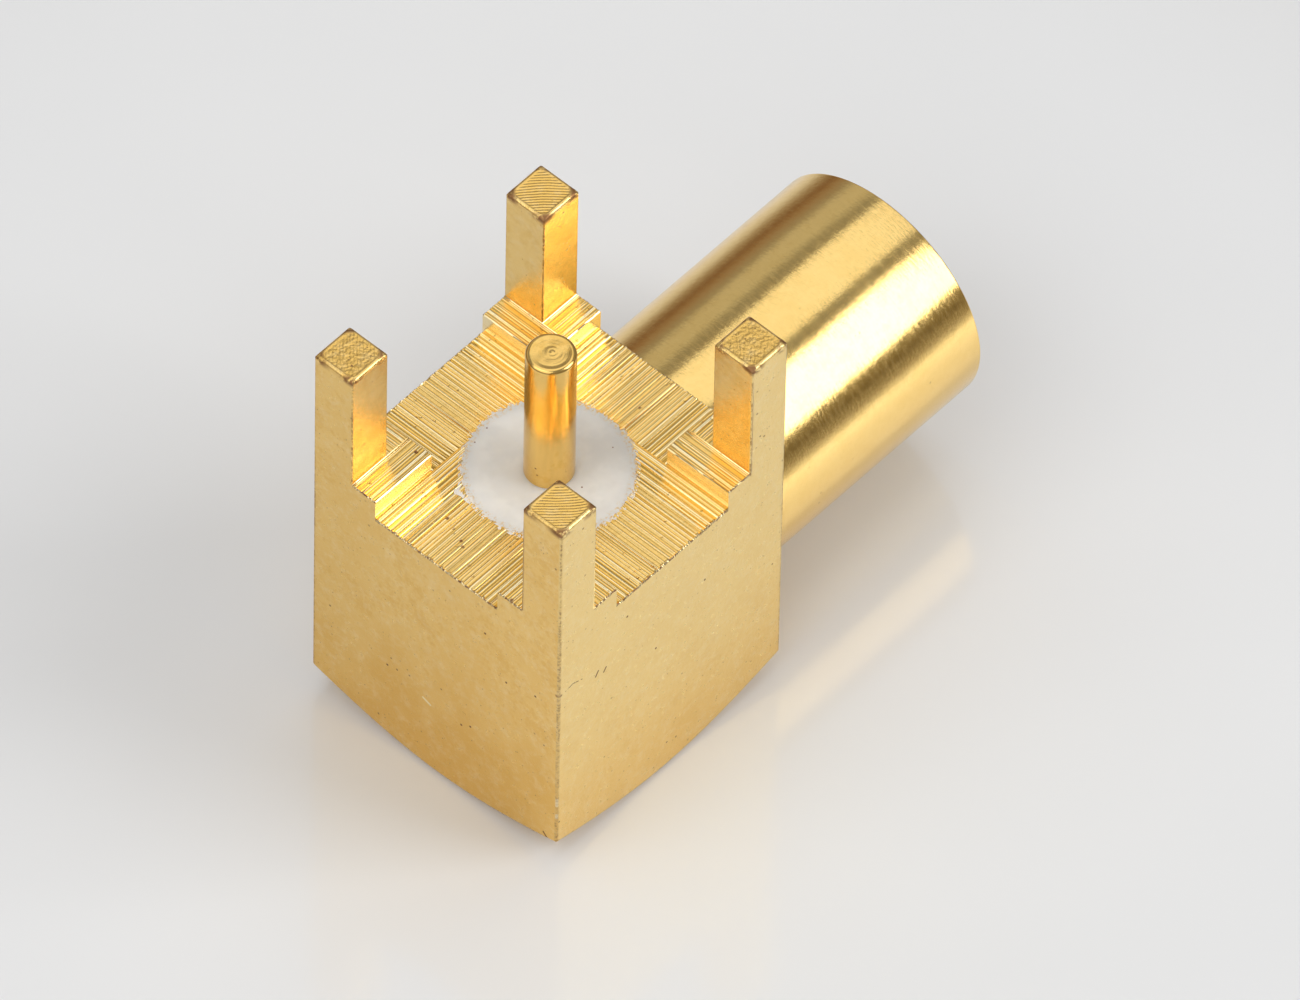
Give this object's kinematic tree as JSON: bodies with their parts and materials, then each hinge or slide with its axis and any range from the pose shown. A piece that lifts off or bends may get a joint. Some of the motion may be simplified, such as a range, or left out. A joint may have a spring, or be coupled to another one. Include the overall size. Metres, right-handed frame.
{
  "type": "mcx connector",
  "caption": "Right-angle board-mount MCX jack: gold-plated square body with corner legs and a tail pin up, smooth barrel out of one side.",
  "frame": {"origin": "centre of the body's plain turned end, on the tail pin's axis", "axes": "+Z along the tail pin towards the leg tips, +X along the barrel towards its open mouth"},
  "size_m": [0.0121, 0.006, 0.0097],
  "materials": {
    "gold_body": "gold plated over milled and drawn brass, satin",
    "gold_barrel": "gold plated over turned brass, bright with fine turning marks",
    "gold_contact": "gold plated over turned copper alloy, bright",
    "ptfe": "turned fluoropolymer, waxy and slightly translucent"
  },
  "bodies": {
    "root": {"body_block": "gold_body", "barrel": "gold_barrel", "barrel_insulator": "ptfe", "socket_contact": "gold_contact", "tail_pin": "gold_contact", "base_insulator": "ptfe"}
  },
  "joints": []
}
